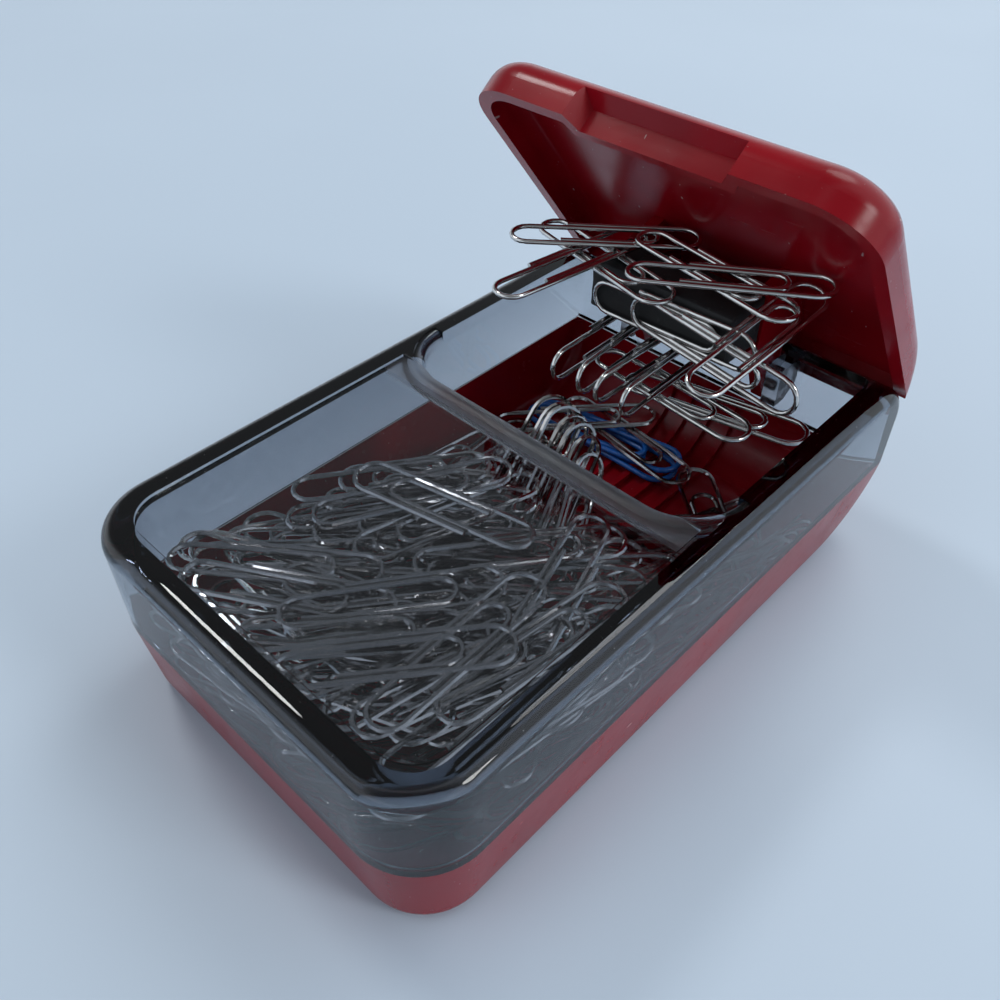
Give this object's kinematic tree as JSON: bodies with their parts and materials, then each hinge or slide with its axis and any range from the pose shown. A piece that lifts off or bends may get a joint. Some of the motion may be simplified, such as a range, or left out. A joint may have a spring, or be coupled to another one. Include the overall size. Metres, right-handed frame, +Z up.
{
  "type": "magnetic paper clip holder",
  "caption": "Desk box for paper clips with a red tray, a smoke see-through cover and a hinged red lid that lifts clips out on a bar magnet.",
  "frame": {"origin": "on the table, under the middle of the tray", "axes": "+Z up, +Y towards the hinge at the rear, +X to the right seen from the front"},
  "size_m": [0.061, 0.0998, 0.0646],
  "materials": {
    "red_plastic": "glossy",
    "smoke_plastic": "glossy, see-through",
    "pin_steel": "satin",
    "ferrite": "matte",
    "pad_rubber": "matte",
    "clip_wire": "bright",
    "blue_coating": "glossy"
  },
  "bodies": {
    "box": {"base_tray": "red_plastic", "smoke_cover": "smoke_plastic", "hinge_pin_left": "pin_steel", "hinge_pin_right": "pin_steel", "foot_pad_front_left": "pad_rubber", "foot_pad_front_right": "pad_rubber", "foot_pad_rear_left": "pad_rubber", "foot_pad_rear_right": "pad_rubber", "clips_in_tray": "clip_wire", "coated_clips": "blue_coating"},
    "flip_lid": {"lid": "red_plastic", "hinge_arm_left": "red_plastic", "hinge_arm_right": "red_plastic", "magnet_bar": "ferrite", "clips_on_magnet": "clip_wire"}
  },
  "joints": [
    {"name": "lid_hinge", "type": "hinge", "parent": "box", "child": "flip_lid", "pos_m": [0, 0.0424, 0.0219], "axis": [1, 0, 0], "range_deg": [0, 52]}
  ]
}
